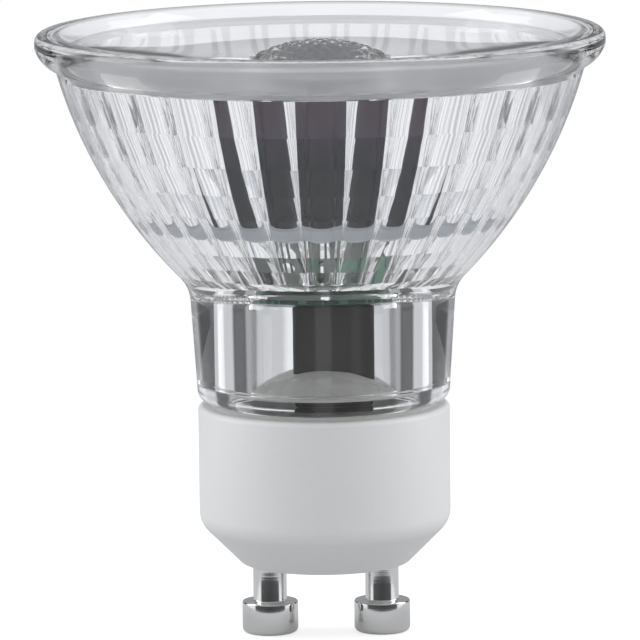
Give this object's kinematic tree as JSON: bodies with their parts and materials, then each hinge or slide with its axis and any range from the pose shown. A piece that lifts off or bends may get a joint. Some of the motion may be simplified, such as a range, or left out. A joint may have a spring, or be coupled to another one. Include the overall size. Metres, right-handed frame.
{
  "type": "gu10 spotlight bulb",
  "caption": "Reflector spotlight lamp: faceted clear glass bowl and neck, dished front lens round a pebbled dome, driver parts seen in the neck, white base with twist-lock pins.",
  "frame": {"origin": "on the lamp axis, in the plane of the pin ends", "axes": "+Z along the lamp axis from the pins to the lens; the pins lie on the X axis; -Y is the side the picture shows"},
  "size_m": [0.0504, 0.0504, 0.054],
  "materials": {
    "clear_glass": "clear pressed glass",
    "clear_cover": "clear polished",
    "clear_optic": "clear, pebbled on top",
    "clear_adhesive": "clear",
    "white_base": "satin white",
    "pin_metal": "bright turned plating",
    "pale_cement": "matt",
    "board_green": "lacquered",
    "capacitor_brown": "satin",
    "potting_grey": "cast, glossy",
    "package_grey": "moulded",
    "chip_resistor": "printed",
    "chip_cream": "fired",
    "ferrite_grey": "ground",
    "enamelled_wire": "enamelled",
    "fuse_body": "lacquered",
    "tinned_wire": "tinned",
    "pale_sleeve": "sleeved",
    "green_sleeve": "sleeved",
    "plate_metal": "satin",
    "substrate_white": "fired",
    "phosphor_yellow": "soft",
    "holder_dark": "satin"
  },
  "bodies": {
    "root": {"pin_left": "pin_metal", "pin_right": "pin_metal", "base": "white_base", "base_cement": "pale_cement", "glass_reflector": "clear_glass", "lens_adhesive": "clear_adhesive", "front_lens": "clear_cover", "fuse_resistor": "fuse_body", "lead_wire": "tinned_wire", "film_capacitor": "capacitor_brown", "potting_compound": "potting_grey", "driver_board": "board_green", "bridge_rectifier": "package_grey", "driver_controller": "package_grey", "freewheel_diode": "package_grey", "chip_resistors": "chip_resistor", "chip_capacitors": "chip_cream", "choke_core": "ferrite_grey", "choke_winding": "enamelled_wire", "led_wire_positive": "pale_sleeve", "led_wire_negative": "green_sleeve", "led_plate": "plate_metal", "led_substrate": "substrate_white", "led_phosphor": "phosphor_yellow", "collimator_holder": "holder_dark", "collimator_lens": "clear_optic"}
  },
  "joints": []
}
